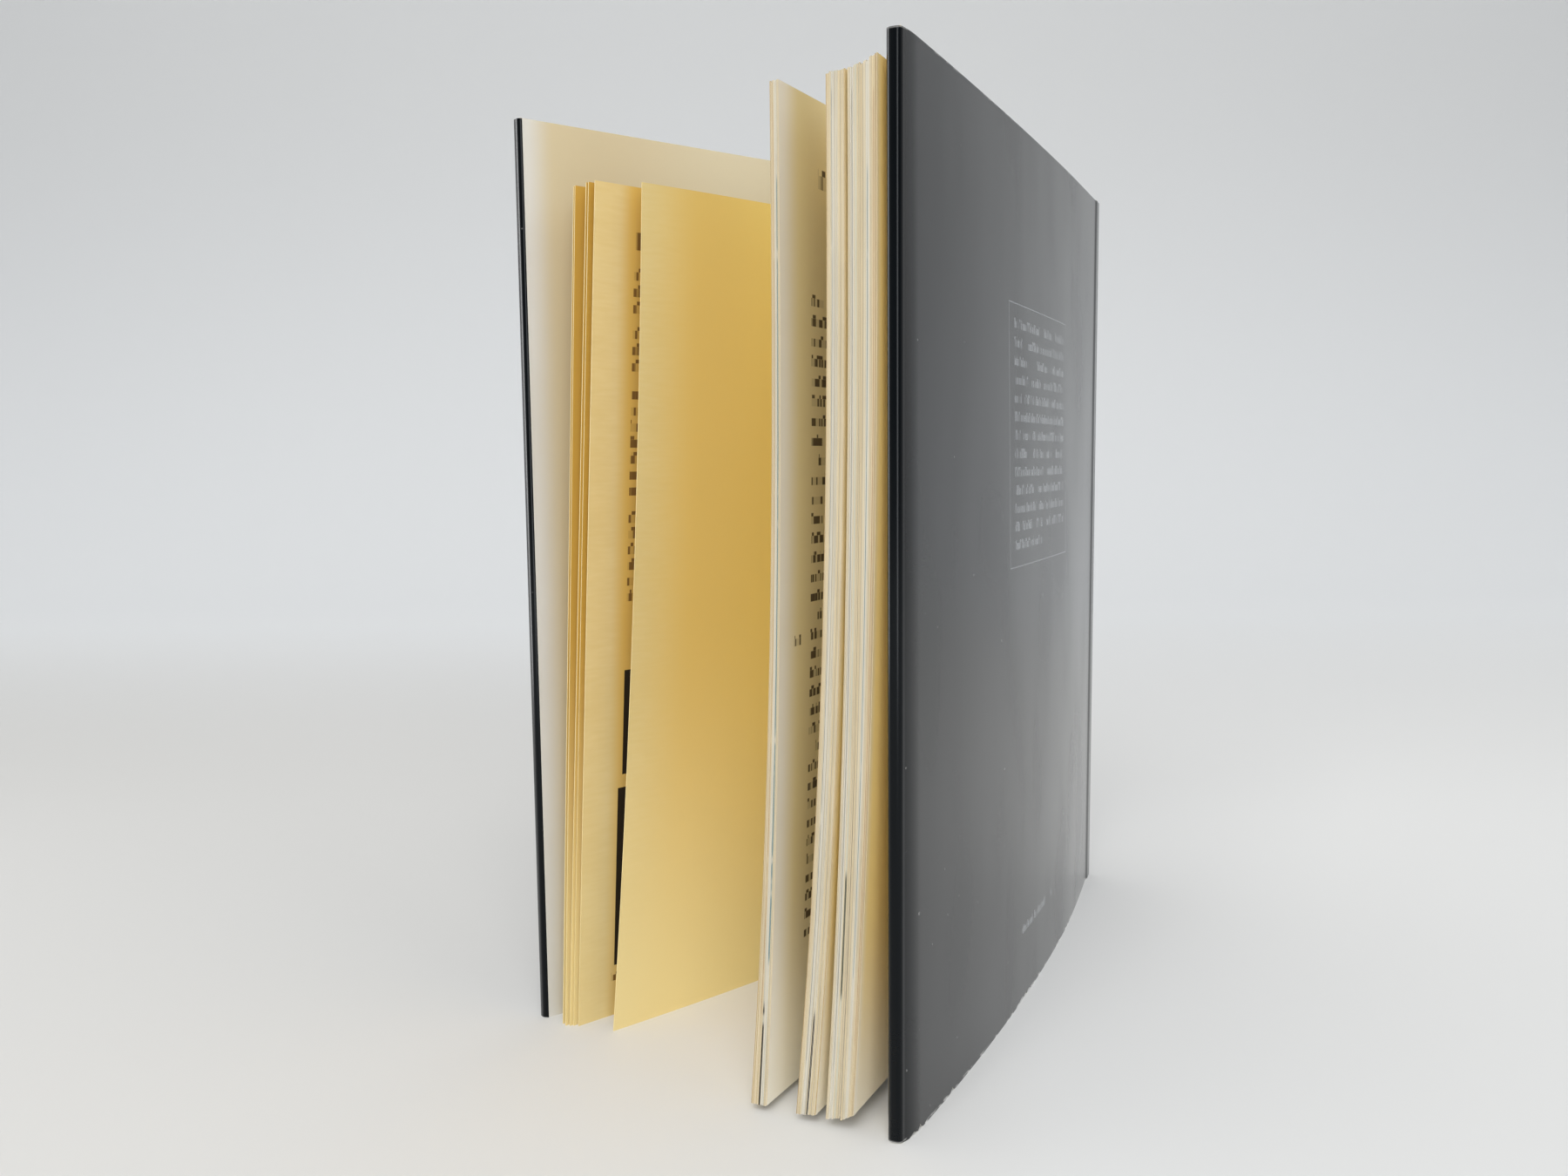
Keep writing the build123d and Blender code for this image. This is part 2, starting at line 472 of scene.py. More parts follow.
@dataclass(frozen=True)
class LeafEdge:
    """Cut edge of one stock of leaf, with ink where a picture on it runs off the page."""

    colour: Colour
    ink: Colour = tone(120, 110, 100)
    low: float = 0.0
    high: float = 0.0
    strength: float = 1.0

    def material(self, name: str) -> bpy.types.Material:
        """Make the material.

        Args:
            name: Name of the material.

        Returns:
            The material.
        """
        graph = Graph(name)
        height = graph.attribute("height")
        place = graph.place()
        worn = graph.noise(graph.stretched(place, (900.0, 900.0, 45.0)), 1.0, 3.0)
        darker = tuple(0.90 * part for part in self.colour[:3]) + (1.0,)
        colour = graph.mix(graph.step(worn, 0.35, 0.72), self.colour, darker)
        if self.high > self.low:
            inked = graph.band(height, self.low, self.high, 3.0)
            flecks = graph.noise(graph.stretched(place, (40.0, 40.0, 160.0)), 1.0, 2.0)
            breaks = graph.step(flecks, 0.22, 0.36)
            inked = graph.maths("MULTIPLY", graph.maths("MULTIPLY", inked, breaks), self.strength)
            colour = graph.mix(inked, colour, self.ink)
        graph.surface(colour, 0.8, 0.15)
        return graph.material


class Stock(Enum):
    """Stocks of leaf in the text block, by what their cut edges show."""

    CREAM = LeafEdge(tone(194, 179, 148))
    IVORY = LeafEdge(tone(196, 185, 160))
    WHITE = LeafEdge(tone(196, 191, 178))
    TAN = LeafEdge(tone(172, 150, 112))
    GREY = LeafEdge(tone(166, 158, 140))
    RUST = LeafEdge(tone(190, 174, 142), tone(150, 108, 78), 20.0, 216.0, 0.6)
    TEAL = LeafEdge(tone(190, 188, 176), tone(82, 120, 128), 35.0, 201.0, 1.0)
    SLATE = LeafEdge(tone(190, 187, 176), tone(126, 128, 124), 14.0, 217.0, 0.75)
    BLACK = LeafEdge(tone(190, 185, 170), tone(18, 18, 20), 0.0, 25.0, 1.0)
    MOSS = LeafEdge(tone(188, 186, 170), tone(52, 58, 46), 30.0, 57.0, 0.95)


@dataclass(frozen=True)
class Laid:
    """Laid paper: fine broken ribs across it, painted shade that darkens it away from its fore-edge, painted
    light that lifts it again further in, and painted light that pales its tail.
    """

    colour: Colour = tone(207, 191, 140)
    shade: Colour = tone(203, 185, 130)
    ink: Colour = tone(122, 90, 42)
    # Darker colour away from the fore-edge: painted shade.
    painted_shading: Colour = tone(204, 177, 103)
    # Paler colour further in: painted light.
    far: Colour = tone(240, 219, 131)
    # Paler colour at the tail, with its share and top: painted light.
    foot: Colour = tone(231, 213, 156)
    painted_foot_light_share: float = 0.8
    painted_foot_light_top: float = 110.0
    # Where the painted shade sets in and how wide its step is, and the reach of the painted light further in.
    painted_shading_start: float = -171.7
    painted_shading_width: float = 26.0
    painted_light_reach: tuple[float, float] = (-158.0, -105.0)
    prints: tuple[Print, ...] = ()
    plates: tuple[Field, ...] = ()
    plate_ink: Colour = tone(40, 32, 20)

    def material(self, name: str) -> bpy.types.Material:
        """Make the material.

        Args:
            name: Name of the material.

        Returns:
            The material.
        """
        graph = Graph(name)
        across, height = graph.attribute("across"), graph.attribute("height")
        sheet = graph.vector(across, height)
        ribs = graph.noise(graph.stretched(sheet, (0.16, 1.0, 1.0)), 1.0, 1.0)
        cloud = graph.noise(sheet, 0.05, 3.0)
        share = graph.maths("MULTIPLY_ADD", ribs, 0.4, graph.maths("MULTIPLY", cloud, 0.6))
        colour = graph.mix(graph.step(share, 0.3, 0.7), self.colour, self.shade)
        # Painted shade away from the fore-edge, turning to painted light further in.
        painted_shading = graph.mix(graph.step(across, *self.painted_light_reach), self.painted_shading, self.far)
        inward = graph.step(across, self.painted_shading_start, self.painted_shading_start + self.painted_shading_width)
        colour = graph.mix(inward, colour, painted_shading)
        # Painted light: a paler tail.
        painted_foot_light_mask = graph.maths("MULTIPLY", graph.step(height, self.painted_foot_light_top, 0.0), self.painted_foot_light_share)
        colour = graph.mix(painted_foot_light_mask, colour, self.foot)
        for work in self.prints:
            colour = graph.mix(work.mask(graph, across, height), colour, self.ink)
        for plate in self.plates:
            colour = graph.mix(plate.mask(graph, across, height), colour, self.plate_ink)
        graph.surface(colour, 0.78, 0.2)
        graph.bump(ribs, 0.03, 0.4)
        return graph.material


@dataclass(frozen=True)
class Laminate:
    """Film-laminated jacket paper: near black, smudged, dusty, and rubbed to white along its cut edges."""

    colour: Colour = tone(4, 6, 8)
    bloom: Colour = tone(10, 13, 16)
    rubbed: Colour = tone(206, 206, 203)
    ink: Colour = tone(160, 165, 170)
    sheen: Colour = (0.10, 0.11, 0.12, 1.0)
    head: float = 227.2
    print_share: float = 0.5
    dust_share: float = 0.22
    crown_share: float = 0.35
    coat_weight: float = 0.86
    coat_roughness: float = 0.17
    coat_ior: float = 1.2
    prints: tuple[Print, ...] = ()

    def material(self, name: str) -> bpy.types.Material:
        """Make the material.

        Args:
            name: Name of the material.

        Returns:
            The material.
        """
        graph = Graph(name)
        across, height = graph.attribute("across"), graph.attribute("height")
        sheet = graph.vector(across, height)
        colour: object = graph.mix(graph.noise(sheet, 0.02, 3.0), self.colour, self.bloom)
        for work in self.prints:
            inked = graph.maths("MULTIPLY", work.mask(graph, across, height), self.print_share)
            colour = graph.mix(inked, colour, self.ink)
        specks = graph.step(graph.noise(sheet, 0.55, 0.0), 0.85, 0.89)
        dust = graph.maths("MULTIPLY", specks, self.dust_share)
        foot = graph.step(height, 0.9, 0.0)
        crown = graph.maths("MULTIPLY", graph.step(height, self.head - 0.5, self.head), self.crown_share)
        rim = graph.maths("MAXIMUM", foot, crown)
        rub = graph.step(graph.noise(graph.stretched(sheet, (0.35, 1.2, 1.0)), 1.0, 3.0), 0.50, 0.62)
        rub = graph.maths("MULTIPLY", rim, rub)
        colour = graph.mix(graph.maths("MAXIMUM", dust, rub), colour, self.rubbed)
        smudge = graph.noise(graph.stretched(sheet, (0.04, 0.014, 1.0)), 1.0, 1.5)
        grain = graph.noise(sheet, 3.2, 2.0)
        gloss = graph.maths("MULTIPLY_ADD", graph.step(smudge, 0.35, 0.7), 0.07, 0.20)
        gloss = graph.maths("MULTIPLY_ADD", grain, 0.04, gloss)
        graph.surface(colour, gloss, 0.5)
        graph.shader.inputs["Specular Tint"].default_value = self.sheen
        graph.shader.inputs["Coat Weight"].default_value = self.coat_weight
        graph.shader.inputs["Coat Roughness"].default_value = self.coat_roughness
        graph.shader.inputs["Coat IOR"].default_value = self.coat_ior
        graph.bump(graph.noise(sheet, 1.6, 2.0), 0.02, 0.12)
        return graph.material


@dataclass(frozen=True)
class Covering:
    """Fine-grained covering of the case."""

    colour: Colour = tone(222, 208, 176)
    shade: Colour = tone(214, 198, 162)

    def material(self, name: str) -> bpy.types.Material:
        """Make the material.

        Args:
            name: Name of the material.

        Returns:
            The material.
        """
        graph = Graph(name)
        place = graph.place()
        warp = graph.noise(graph.stretched(place, (900.0, 900.0, 2400.0)), 1.0, 2.0)
        weft = graph.noise(graph.stretched(place, (2400.0, 2400.0, 900.0)), 1.0, 2.0)
        weave = graph.maths("MAXIMUM", warp, weft)
        cloud = graph.noise(place, 40.0, 3.0)
        share = graph.maths("MULTIPLY_ADD", weave, 0.5, graph.maths("MULTIPLY", cloud, 0.5))
        graph.surface(graph.mix(share, self.colour, self.shade), 0.75, 0.25)
        graph.bump(weave, 0.06, 0.6)
        return graph.material


@dataclass(frozen=True)
class Band:
    """Woven end band, in two colours of thread."""

    light: Colour = tone(236, 226, 204)
    dark: Colour = tone(150, 60, 44)
    thread: float = 1.3

    def material(self, name: str) -> bpy.types.Material:
        """Make the material.

        Args:
            name: Name of the material.

        Returns:
            The material.
        """
        graph = Graph(name)
        parts = graph.node("ShaderNodeSeparateXYZ")
        graph.feed(parts.inputs[0], graph.place())
        turn = graph.maths("MULTIPLY", parts.outputs["X"], math.tau / (self.thread * MM))
        wave = graph.maths("MULTIPLY_ADD", graph.maths("SINE", turn), 0.5, 0.5)
        graph.surface(graph.mix(graph.step(wave, 0.42, 0.58), self.light, self.dark), 0.85, 0.2)
        fine = graph.maths("MULTIPLY_ADD", graph.maths("SINE", graph.maths("MULTIPLY", turn, 4.0)), 0.5, 0.5)
        graph.bump(fine, 0.08, 0.8)
        return graph.material


@dataclass
class Sheet:
    """Upright sheet of paper, drawn as a line in plan at each height, with its face on the line's right."""

    name: str
    line: Callable[[float], Sequence[Plan]]
    heights: Sequence[float]
    across: Sequence[float]
    wall: float
    materials: Sequence[bpy.types.Material]
    faces: Sequence[int] | None = None
    thinning: Callable[[int, float], float] | None = None
    foot: Callable[[float], float] | None = None

    def build(self) -> bpy.types.Object:
        """Lay the sheet out and give it its thickness.

        Returns:
            The sheet, with its place in its mesh.
        """
        columns, rows = len(self.across), len(self.heights)
        bpy.ops.object.select_all(action="DESELECT")
        bpy.ops.mesh.primitive_grid_add(x_subdivisions=columns - 1, y_subdivisions=rows - 1, size=1)
        sheet = bpy.context.object
        sheet.name = self.name
        sheet.data.name = self.name
        lines = [self.line(height) for height in self.heights]
        across = sheet.data.attributes.new("across", "FLOAT", "POINT")
        tall = sheet.data.attributes.new("height", "FLOAT", "POINT")
        for vertex in sheet.data.vertices:
            column = round((vertex.co.x + 0.5) * (columns - 1))
            row = round((vertex.co.y + 0.5) * (rows - 1))
            x, y = lines[row][column]
            z = self.heights[row]
            if self.foot and row == 0:
                z += self.foot(self.across[column])
            across.data[vertex.index].value = self.across[column]
            tall.data[vertex.index].value = z
            vertex.co = Vector((x, y, z)) * MM
        if self.faces:
            for polygon in sheet.data.polygons:
                polygon.material_index = self.faces[polygon.index % (columns - 1)]
        for material in self.materials:
            sheet.data.materials.append(material)
        self._thicken(sheet, columns)
        bpy.ops.object.shade_smooth_by_angle(angle=math.radians(35))
        return sheet

    def _thicken(self, sheet: bpy.types.Object, columns: int) -> None:
        """Give the sheet its wall, behind its face, with a back and a cut edge of their own.

        Args:
            sheet: The flat sheet.
            columns: Number of points in each of its lines.
        """
        kinds = 1 + max(self.faces) if self.faces else 1
        solid = sheet.modifiers.new("wall", "SOLIDIFY")
        solid.thickness = self.wall * MM
        solid.offset = -1.0
        solid.material_offset = kinds
        solid.material_offset_rim = 2 * kinds
        if self.thinning:
            group = sheet.vertex_groups.new(name="wall")
            for vertex in sheet.data.vertices:
                share = self.thinning(vertex.index % columns, vertex.co.z / MM) / self.wall
                group.add([vertex.index], min(share, 1.0), "REPLACE")
            solid.vertex_group = group.name
        bpy.ops.object.modifier_apply(modifier=solid.name)
        sheet.vertex_groups.clear()


def joined(pieces: Sequence[bpy.types.Object], name: str) -> bpy.types.Object:
    """Join pieces into one object.

    Args:
        pieces: The pieces.
        name: Name of the whole.

    Returns:
        The whole.
    """
    bpy.ops.object.select_all(action="DESELECT")
    for piece in pieces:
        piece.select_set(True)
    bpy.context.view_layer.objects.active = pieces[0]
    bpy.ops.object.join()
    whole = bpy.context.object
    whole.name = name
    whole.data.name = name
    return whole


@dataclass(frozen=True)
class LeafGroup:
    """Leaves that stay together where the text block fans out: first and last fore-edge, at tail and head."""

    name: str
    thickness: float
    tail_edges: tuple[float, float]
    head_edges: tuple[float, float]
    lifts: tuple[float, float]
    leaves: tuple[tuple[Stock, int], ...]
    left_prints: tuple[Print, ...] = ()
    right_prints: tuple[Print, ...] = ()

    def edges(self, flare: float) -> tuple[float, float]:
        """First and last fore-edge of the group.

        Args:
            flare: Share of the most that the group splays, which it does at the tail.

        Returns:
            The two fore-edges.
        """
        left = between(self.head_edges[0], self.tail_edges[0], flare)
        right = between(self.head_edges[1], self.tail_edges[1], flare)
        return left, right


@dataclass
class TextBlock:
    """All the leaves, in four groups that lean towards the open cover and splay at the tail."""

    thickness: float = 15.8
    back: float = -2.0
    width: float = 188.5
    tail: float = 1.9
    head: float = 220.6
    gutter_pull: float = 0.30
    gutter_lean: float = 0.12
    fore_edge_pull: float = 0.35
    flare_reach: float = 0.95
    flare_power: float = 2.4
    packing: float = 0.95
    stations: int = 16
    rows: int = 13
    seed: int = 26
    # Leaf paper: its toned colour is partly real toning and partly painted shade between the groups; its
    # paler far colour and paler tail are painted light.
    paper: Paper = Paper(
        tone(224, 216, 198), tone(220, 210, 189), tone(92, 78, 54),
        toning_and_painted_light=tone(214, 196, 146), toning_and_painted_light_reach=(1.2, 9.5), painted_foot_light=0.8, far=tone(252, 236, 188),
    )
    # Endpaper: its golden colour over all but the very edge is painted bounce light, and its paler tail is
    # painted light.
    endpaper: Paper = Paper(
        tone(228, 213, 178), tone(223, 206, 168),
        toning_and_painted_light=tone(248, 218, 142), toning_and_painted_light_reach=(-1.0, 2.5), painted_foot_light=0.85,
    )

    def groups(self) -> tuple[LeafGroup, ...]:
        """The leaf groups, from the front cover's side to the back's."""
        page = Greeking(14.1, 150.0, 177.85, 4.28, 34, 1.7, 9.0, 4.0, 118.0, (8, 16, 23), 3.3)
        heading = Greeking(17.5, 74.0, 203.6, 8.0, 1, 2.9, 12.0, 9.0, 70.0)
        folio = Greeking(6.4, 9.7, 104.6, 4.0, 1, 1.6, 20.0, 2.6, 9.7)
        plain = Greeking(14.0, 150.0, 196.0, 4.28, 38, 1.8, 7.5, 12.0, 96.0, (5, 14, 27), 3.3)
        cream, ivory, white, tan, grey = Stock.CREAM, Stock.IVORY, Stock.WHITE, Stock.TAN, Stock.GREY
        return (
            LeafGroup(
                "leaves_first", 3.697, (-24.34, -20.45), (-17.16, -15.20), (-0.3, -0.2),
                (
                    (tan, 1), (cream, 2), (tan, 1), (cream, 4), (Stock.RUST, 1), (cream, 2), (Stock.BLACK, 2),
                    (white, 2), (Stock.TEAL, 2), (ivory, 1), (cream, 1), (grey, 1), (cream, 2),
                ),
                right_prints=(page, heading, folio),
            ),
            LeafGroup(
                "leaves_second", 4.898, (-13.23, -8.60), (-4.67, -0.60), (-0.4, 0.3),
                (
                    (tan, 1), (cream, 4), (ivory, 2), (Stock.SLATE, 1), (white, 3), (grey, 1), (ivory, 1),
                    (Stock.BLACK, 2), (ivory, 2), (cream, 2), (grey, 1), (cream, 3), (ivory, 1), (cream, 2),
                    (tan, 1),
                ),
                left_prints=(plain,),
                right_prints=(plain,),
            ),
            LeafGroup(
                "leaves_third", 3.002, (-6.19, -3.12), (-0.06, 2.55), (0.0, 0.8),
                (
                    (cream, 1), (ivory, 2), (white, 2), (Stock.SLATE, 1),
                    (white, 2), (ivory, 2), (Stock.MOSS, 2),
                    (ivory, 1), (cream, 2), (grey, 1), (cream, 1),
                ),
                left_prints=(plain,),
                right_prints=(plain,),
            ),
            LeafGroup(
                "leaves_last", 4.203, (-2.81, 0.11), (2.64, 6.23), (0.3, 2.2),
                (
                    (cream, 3), (grey, 1), (ivory, 3), (white, 2), (Stock.TEAL, 1), (white, 2), (ivory, 3),
                    (cream, 3), (Stock.RUST, 1), (cream, 2), (tan, 2), (cream, 1),
                ),
                left_prints=(plain,),
            ),
        )

    def build(self) -> list[bpy.types.Object]:
        """Make each group of leaves and let them stand for the solid text block.

        Returns:
            The groups.
        """
        draw = random.Random(self.seed)
        edges = {stock: stock.value.material(f"edge_{stock.name.lower()}") for stock in Stock}
        leaf_face = self.paper.material("leaf")
        end_face = self.endpaper.material("endpaper_leaf")
        pieces = []
        root = -self.thickness / 2
        for number, group in enumerate(self.groups()):
            faces = (
                self._printed(group.left_prints, group.name + "_left") or leaf_face,
                self._printed(group.right_prints, group.name + "_right") or leaf_face,
            )
            if number == 0:
                faces = (end_face, faces[1])
            # The second group's right face takes the endpaper's golden colour: painted bounce light in the
            # gap before the third group.
            if number == 1:
                painted_bounce = replace(self.endpaper, ink=self.paper.ink, prints=group.right_prints)
                faces = (faces[0], painted_bounce.material(group.name + "_warm"))
            if number == 3:
                faces = (faces[0], end_face)
            whole = self._group(group, root, draw, leaf_face, faces, edges)
            root += group.thickness
            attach(whole, Body.BLOCK.value)
            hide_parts("text_block")
            LOG.info("%s: %d polygons", whole.name, len(whole.data.polygons))
            pieces.append(whole)
        return pieces

    def _printed(self, prints: tuple[Print, ...], name: str) -> bpy.types.Material | None:
        """Leaf paper with print on it.

        Args:
            prints: The print.
            name: Name of the material.

        Returns:
            The material, or nothing where there is no print.
        """
        if not prints:
            return None
        return replace(self.paper, prints=prints).material(name)

    def _group(
        self,
        group: LeafGroup,
        root: float,
        draw: random.Random,
        face: bpy.types.Material,
        outer: tuple[bpy.types.Material, bpy.types.Material],
        edges: dict[Stock, bpy.types.Material],
    ) -> bpy.types.Object:
        """Make one group of leaves.

        Args:
            group: The group.
            root: Where its first leaf leaves the gutter.
            draw: Source of the small differences between leaves.
            face: Plain face of a leaf.
            outer: Left face of the first leaf and right face of the last.
            edges: Cut edge of each stock.

        Returns:
            The group as one object.
        """
        stocks = [stock for stock, count in group.leaves for _ in range(count)]
        widths = [draw.uniform(0.8, 1.2) for _ in stocks]
        total = sum(widths)
        done = 0.0
        leaves = []
        lift = 0.0
        for index, (stock, width) in enumerate(zip(stocks, widths)):
            done += width
            if index % 4 == 0:
                lift = draw.uniform(-0.25, 0.25)
            share, slice_share = done / total, width / total
            step = draw.uniform(-0.12, 0.12)
            slide = between(*group.lifts, share)
            tail = self.tail + slide + draw.uniform(-0.08, 0.12)
            head = self.head + slide + lift
            left = outer[0] if index == 0 else face
            right = outer[1] if index == len(stocks) - 1 else face
            faces = (right, left, edges[stock])
            leaf = self._leaf(group, root, share, slice_share, step, (tail, head), faces)
            leaves.append(leaf)
        return joined(leaves, group.name)

    def _leaf(
        self,
        group: LeafGroup,
        root: float,
        share: float,
        slice_share: float,
        step: float,
        ends: tuple[float, float],
        materials: tuple[bpy.types.Material, ...],
    ) -> bpy.types.Object:
        """Make one leaf.

        Args:
            group: The group that it is in.
            root: Where the group's first leaf leaves the gutter.
            share: How far through the group the leaf's right face lies.
            slice_share: The leaf's part of the group's thickness.
            step: How far its fore-edge stands back.
            ends: Heights of its tail and head.
            materials: Right face, left face and cut edge.

        Returns:
            The leaf.
        """
        turns = [1 - index / self.stations for index in range(self.stations + 1)]
        runs = [self._run(turn) for turn in turns]

        def line(height: float) -> list[Plan]:
            """Leaf in plan, from the fore-edge to the gutter."""
            start = root + share * group.thickness
            fore_x = between(*group.edges(self._flare(height)), share)
            fore_y = self.back - self.width + step
            return [
                (between(start, fore_x, lean), between(self.back, fore_y, along))
                for along, lean in runs
            ]

        def wall(column: int, height: float) -> float:
            """Thickness of the leaf, which is pressed thinner where its group is."""
            left, right = group.edges(self._flare(height))
            spread = between(group.thickness, right - left, runs[column][1])
            return self.packing * slice_share * spread

        heights = [between(*ends, (index / (self.rows - 1)) ** 1.4) for index in range(self.rows)]
        across = [(1 - along) * self.width for along, _ in runs]
        thickest = max(wall(column, height) for column in (0, self.stations) for height in ends)
        return Sheet("leaf", line, heights, across, thickest, materials, thinning=wall).build()

    def _flare(self, height: float) -> float:
        """How far the leaves have splayed at a height, from 1 at the tail to 0 where they stand pressed."""
        rise = (height - self.tail) / (self.head - self.tail)
        return max(0.0, 1 - max(rise, 0.0) / self.flare_reach) ** self.flare_power

    def _run(self, turn: float) -> tuple[float, float]:
        """Place on a leaf's curve.

        Args:
            turn: Share of the curve.

        Returns:
            How far the leaf has run from the gutter, and how far it has leaned.
        """
        first, second, third = 3 * (1 - turn) ** 2 * turn, 3 * (1 - turn) * turn**2, turn**3
        arriving = 1 - self.fore_edge_pull
        along = first * self.gutter_pull + second * arriving + third
        lean = first * self.gutter_lean + second * arriving + third
        return along, lean


@dataclass(frozen=True)
class CoverFrame:
    """Place of a cover: distances along it from its hinge, and out of it, away from the pages."""

    hinge: Plan
    side: int
    opening: float

    def plan(self, along: float, out: float) -> Plan:
        """Point in plan, on the cover."""
        return self._turned(along, out, math.radians(self.opening))

    def shut(self, along: float, out: float) -> Plan:
        """Point in plan, as if the cover were shut."""
        return self._turned(along, out, 0.0)

    def bent(self, along: float, out: float, reach: float) -> Plan:
        """Point of a sheet that bends over the hinge.

        Args:
            along: Distance along the cover from its hinge.
            out: Distance out of the cover.
            reach: How far to either side of the hinge the bend goes.

        Returns:
            The point in plan.
        """
        share = eased(along, -reach, reach)
        near, far = self.shut(along, out), self.plan(along, out)
        return between(near[0], far[0], share), between(near[1], far[1], share)

    def _turned(self, along: float, out: float, angle: float) -> Plan:
        """Point in plan, with the cover turned.

        Args:
            along: Distance along the cover from its hinge.
            out: Distance out of the cover.
            angle: How far it is turned, in radians.

        Returns:
            The point in plan.
        """
        x = out * math.cos(angle) + along * math.sin(angle)
        y = out * math.sin(angle) - along * math.cos(angle)
        return self.hinge[0] + self.side * x, self.hinge[1] + y


FRONT = CoverFrame((-10.75, -4.0), -1, 27.4)
BACK = CoverFrame((10.75, -4.0), 1, 0.0)


@dataclass(frozen=True)
class Nick:
    """Place where the jacket's tail is chipped."""

    along: float
    width: float
    depth: float


@dataclass
class Jacket:
    """Paper jacket: two sheets that meet on the spine and bend over the joints, each with fold and flap."""

    height: float = 227.2
    wall: float = 0.25
    panel_out: float = 0.7
    flap_out: float = -2.95
    fold: float = 186.65
    flap_end: float = 98.65
    panel_start: float = 2.5
    joint_reach: float = 2.2
    joint_rise: float = 0.25
    corner_start: float = -3.8
    corner_radius: float = 1.65
    fold_radius_tail: float = 1.4
    fold_radius_head: float = 1.3
    roll: float = 0.22
    roll_reach: float = 6.5
    stand_off_tail: float = 0.65
    stand_off_head: float = 0.2
    front_bows: tuple[float, float] = (1.2, 0.6)
    back_bows: tuple[float, float] = (4.2, 1.1)
    rows: int = 25
    flap_count: int = 10
    bend_count: int = 8
    panel_count: int = 132
    panel_crowding: float = 1.2
    joint_count: int = 18
    spine_count: int = 5
    nicks: tuple[Nick, ...] = (
        Nick(187.0, 2.6, 0.35), Nick(181.6, 1.7, 0.9), Nick(178.9, 1.2, 1.3),
        Nick(160.5, 1.3, 1.1), Nick(109.5, 1.4, 1.0), Nick(106.4, 1.5, 1.9),
        Nick(103.0, 1.8, 1.2), Nick(99.2, 1.3, 1.7), Nick(61.0, 1.4, 0.8),
    )
    # Flap paper: its darker colour inward from the fold is painted shade and bounce light from the booklet
    # beside it, and its paler far colour is painted light.
    flap_paper: Paper = Paper(
        tone(206, 204, 197), tone(203, 200, 191), roughness=0.34, specular=0.4,
        toning_and_painted_light=tone(200, 186, 152), toning_and_painted_light_reach=(185.0, 177.0),
        far=tone(214, 206, 178), painted_light_reach=(170.0, 115.0),
    )
    inside: Paper = Paper(tone(236, 233, 224), tone(230, 226, 214))

    def build(self) -> list[bpy.types.Object]:
        """Make both sheets and let them stand for the solid jacket.

        Returns:
            The sheets.
        """
        frame_rule = Field(-114.5, -50.0, 116.0, 182.9, 0.3)
        blurb = Greeking(-109.6, -53.5, 177.5, 4.67, 13, 1.7, 7.0, 21.0, -79.7)
        imprint = Greeking(-105.5, -70.8, 18.7, 5.0, 1, 1.6, 9.0, 31.0, -70.8)
        back_face = Laminate(prints=(frame_rule, blurb, imprint)).material("jacket_back")
        front_face = Laminate().material("jacket_front")
        flap = self.flap_paper.material("jacket_flap")
        inside = self.inside.material("jacket_inside")
        front = self._sheet("jacket_front", FRONT, self.front_bows, (front_face, flap, inside))
        back = self._sheet("jacket_back", BACK, self.back_bows, (back_face, flap, inside))
        for sheet, cover, body in ((front, FRONT, Body.FRONT), (back, BACK, Body.BACK)):
            start = cover.shut(-self.joint_reach, 0.0)
            end = cover.plan(self.joint_reach, 0.0)
            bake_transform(sheet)
            LOG.info("%s: %d polygons", sheet.name, len(sheet.data.polygons))
        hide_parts("front_jacket", "spine_jacket")
        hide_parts("back_jacket")
        return [front, back]

    def _stations(self, bows: tuple[float, float], rise: float) -> list[tuple[float, float, int]]:
        """Points of one sheet across, from the flap's end to the middle of the spine.

        Args:
            bows: How far the panel stands out at its middle, at the tail and at the head.
            rise: Share of the height at which the points lie.

        Returns:
            Distance along, distance out and kind of face after it: 0 for the black face, 1 for the flap.
        """
        points: list[tuple[float, float, int]] = []
        bow = between(*bows, rise)
        radius = between(self.fold_radius_tail, self.fold_radius_head, rise)
        stand_off = between(self.stand_off_tail, self.stand_off_head, rise)
        turn = self.fold - radius
        for index in range(self.flap_count):
            points.append((between(self.flap_end, turn, index / self.flap_count), self.flap_out, 1))
        for index in range(self.bend_count):
            angle = math.pi / 2 * index / self.bend_count
            kind = 1 if index < 1 else 0
            out = self.flap_out + radius * (1 - math.cos(angle))
            points.append((turn + radius * math.sin(angle), out, kind))
        edge = self.panel_out - self.roll
        face = (self.flap_out + radius, edge - radius)
        for index in range(2):
            points.append((self.fold, between(*face, index / 2), 0))
        for index in range(self.bend_count):
            angle = math.pi / 2 * index / self.bend_count
            points.append((turn + radius * math.cos(angle), edge - radius * (1 - math.sin(angle)), 0))
        for index in range(self.panel_count):
            share = (index / self.panel_count) ** self.panel_crowding
            along = between(turn, self.panel_start, share)
            near = max(0.0, 1 - (turn - along) / self.roll_reach)
            stand = bow * 4 * share * (1 - share) - self.roll * near**2
            stand += stand_off * (1 - near**2) * (1 - eased(share, 0.7, 1.0))
            points.append((along, self.panel_out + stand, 0))
        for index in range(self.joint_count):
            along = between(self.panel_start, self.corner_start, index / self.joint_count)
            stand = self.joint_rise * (1 - eased(abs(along), 0.0, self.panel_start))
            points.append((along, self.panel_out + stand, 0))
        for index in range(self.bend_count):
            angle = math.pi / 2 * index / self.bend_count
            centre = self.panel_out - self.corner_radius
            along = self.corner_start - self.corner_radius * math.sin(angle)
            points.append((along, centre + self.corner_radius * math.cos(angle), 0))
        reach = abs(BACK.hinge[0])
        for index in range(self.spine_count + 1):
            out = between(self.panel_out - self.corner_radius, -reach, index / self.spine_count)
            points.append((self.corner_start - self.corner_radius, out, 0))
        return points

